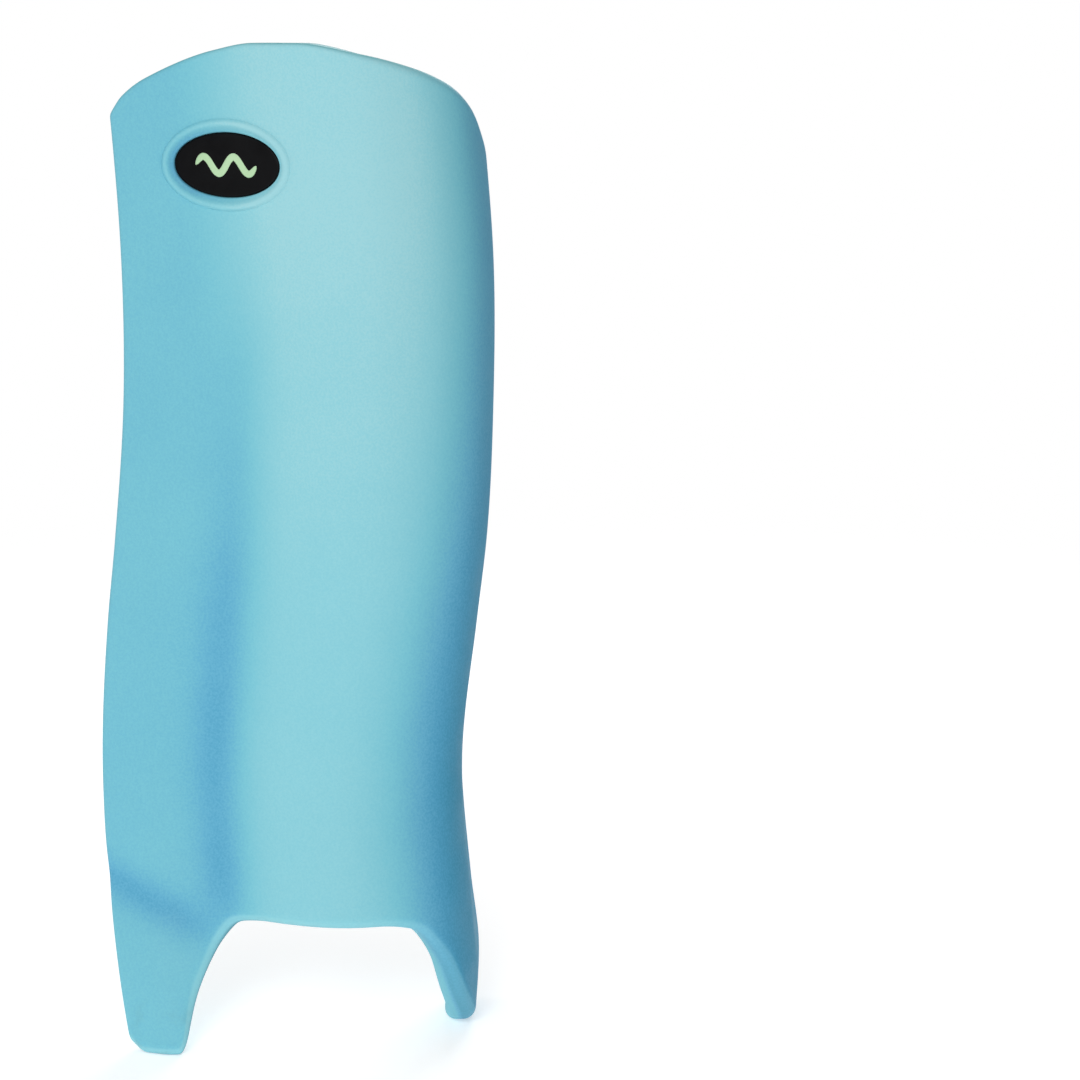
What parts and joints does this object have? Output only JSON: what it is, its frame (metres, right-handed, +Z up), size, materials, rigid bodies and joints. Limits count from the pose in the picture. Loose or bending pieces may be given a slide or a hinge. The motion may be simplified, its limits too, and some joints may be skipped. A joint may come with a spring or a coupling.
{
  "type": "goalkeeper leg guard",
  "caption": "Moulded foam leg guard with a flared outer wing, a notch for the boot, a padded leg channel and elastic straps with hook-and-loop ends.",
  "frame": {"origin": "bottom centre of the bounding box, on the surface that the two feet stand on", "axes": "+Z up along the leg, -Y out of the face towards the ball, +Y towards the wearer's calf, +X towards the other leg, -X towards the outer wing"},
  "size_m": [0.2764, 0.1608, 0.7],
  "materials": {
    "shell_foam": "moulded closed-cell foam, fine-grained matte skin, light blue",
    "core_foam": "dense closed-cell foam, cut, grey",
    "wall_foam": "cut foam block, matte, blue",
    "lining_cloth": "brushed knit over soft foam, charcoal",
    "badge_black": "satin moulded, black",
    "badge_mark": "printed and slightly raised, pale green",
    "webbing": "woven elastic, black",
    "slider_nylon": "moulded nylon, black",
    "insert_nylon": "moulded nylon, grey",
    "steel": "bright zinc-plated steel",
    "hook": "hook tape, black",
    "loop": "loop tape, black",
    "tab_rubber": "moulded rubber, dark grey"
  },
  "bodies": {
    "guard": {"face_shell": "shell_foam", "core_layer": "core_foam", "wall_lateral": "wall_foam", "wall_medial": "wall_foam", "knee_pad": "lining_cloth", "shin_pad": "lining_cloth", "instep_pad": "lining_cloth", "lining_lateral": "lining_cloth", "lining_medial": "lining_cloth", "badge_insert": "badge_black", "badge_emblem": "badge_mark", "bracket_knee": "steel", "insert_knee": "insert_nylon", "screw_knee_lower": "steel", "screw_knee_upper": "steel", "loop_patch_knee": "loop", "bracket_calf": "steel", "insert_calf": "insert_nylon", "screw_calf_lower": "steel", "screw_calf_upper": "steel", "loop_patch_calf": "loop", "bracket_ankle": "steel", "insert_ankle": "insert_nylon", "screw_ankle_lower": "steel", "screw_ankle_upper": "steel", "loop_patch_ankle": "loop"},
    "strap_knee": {"strap_knee": "webbing"},
    "slider_knee": {"slider_knee": "slider_nylon"},
    "flap_knee": {"flap_knee": "webbing", "hook_patch_knee": "hook", "pull_tab_knee": "tab_rubber"},
    "strap_calf": {"strap_calf": "webbing"},
    "slider_calf": {"slider_calf": "slider_nylon"},
    "flap_calf": {"flap_calf": "webbing", "hook_patch_calf": "hook", "pull_tab_calf": "tab_rubber"},
    "strap_ankle": {"strap_ankle": "webbing"},
    "slider_ankle": {"slider_ankle": "slider_nylon"},
    "flap_ankle": {"flap_ankle": "webbing", "hook_patch_ankle": "hook", "pull_tab_ankle": "tab_rubber"}
  },
  "joints": [
    {"name": "swing_knee", "type": "hinge", "parent": "guard", "child": "strap_knee", "pos_m": [0.12442, 0.07635, 0.56], "axis": [0, 0, -1], "range_deg": [0, 130]},
    {"name": "peel_knee", "type": "hinge", "parent": "strap_knee", "child": "flap_knee", "pos_m": [-0.09273, 0.05885, 0.56], "axis": [0, 0, -1], "range_deg": [0, 120]},
    {"name": "adjust_knee", "type": "slide", "parent": "strap_knee", "child": "slider_knee", "axis": [-0.9998, -0.0208, 0], "range_m": [0, 0.02]},
    {"name": "swing_calf", "type": "hinge", "parent": "guard", "child": "strap_calf", "pos_m": [0.12104, 0.07635, 0.378], "axis": [0, 0, -1], "range_deg": [0, 130]},
    {"name": "peel_calf", "type": "hinge", "parent": "strap_calf", "child": "flap_calf", "pos_m": [-0.09273, 0.05885, 0.378], "axis": [0, 0, -1], "range_deg": [0, 120]},
    {"name": "adjust_calf", "type": "slide", "parent": "strap_calf", "child": "slider_calf", "axis": [-0.9998, -0.0211, 0], "range_m": [0, 0.02]},
    {"name": "swing_ankle", "type": "hinge", "parent": "guard", "child": "strap_ankle", "pos_m": [0.10143, 0.07635, 0.196], "axis": [0, 0, -1], "range_deg": [0, 130]},
    {"name": "peel_ankle", "type": "hinge", "parent": "strap_ankle", "child": "flap_ankle", "pos_m": [-0.09273, 0.05885, 0.196], "axis": [0, 0, -1], "range_deg": [0, 120]},
    {"name": "adjust_ankle", "type": "slide", "parent": "strap_ankle", "child": "slider_ankle", "axis": [-0.9997, -0.0234, 0], "range_m": [0, 0.02]}
  ]
}
